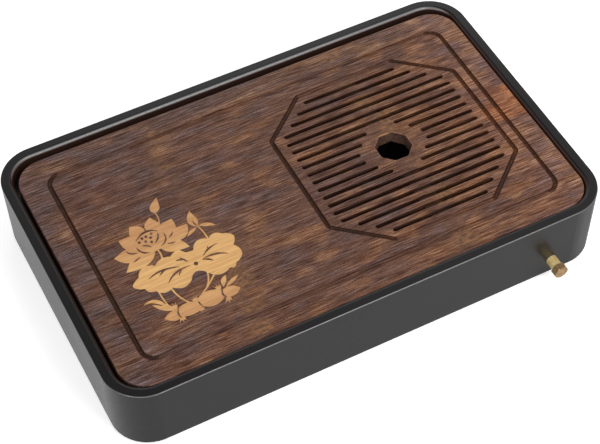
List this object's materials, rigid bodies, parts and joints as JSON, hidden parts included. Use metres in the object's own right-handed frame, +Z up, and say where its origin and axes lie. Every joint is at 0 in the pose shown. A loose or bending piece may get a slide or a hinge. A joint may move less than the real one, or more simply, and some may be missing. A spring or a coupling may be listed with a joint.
{
  "type": "gongfu tea tray",
  "caption": "Rectangular tea tray: black body with a water tank, lift-off bamboo board with grooves, a slotted grille and a drain hole, and a brass side outlet with a screw plug.",
  "frame": {"origin": "on the table, under the middle of the tray's outer box with its plug screwed in", "axes": "+X along the long side towards the grille, +Y from the side with the drain outlet to the opposite one, +Z up"},
  "size_m": [0.39, 0.2569, 0.0615],
  "materials": {
    "black_body": "satin black, smooth",
    "dark_bamboo": "dark carbonised bamboo, satin",
    "brass": "bright turned brass",
    "aged_brass": "darker brushed brass",
    "black_rubber": "matte"
  },
  "bodies": {
    "body": {"base_tray": "black_body", "drain_spigot": "brass", "spigot_gasket": "black_rubber", "foot_front_left": "black_rubber", "foot_front_right": "black_rubber", "foot_back_left": "black_rubber", "foot_back_right": "black_rubber"},
    "board": {"grille_board": "dark_bamboo"},
    "seal": {"plug_washer": "black_rubber"},
    "plug": {"drain_plug": "aged_brass"}
  },
  "joints": [
    {"name": "board_lift", "type": "slide", "parent": "body", "child": "board", "axis": [0, 0, 1], "range_m": [0, 0.06]},
    {"name": "plug_travel", "type": "slide", "parent": "body", "child": "seal", "axis": [0, -1, 0], "range_m": [0, 0.009]},
    {"name": "plug_turn", "type": "hinge", "parent": "seal", "child": "plug", "pos_m": [0.147, -0.1234, 0.017], "axis": [0, -1, 0], "range_deg": [0, 4032]}
  ],
  "couplings": [
    {"joint": "plug_travel", "follows": "plug_turn", "m_per_rad": 0.00012732}
  ]
}
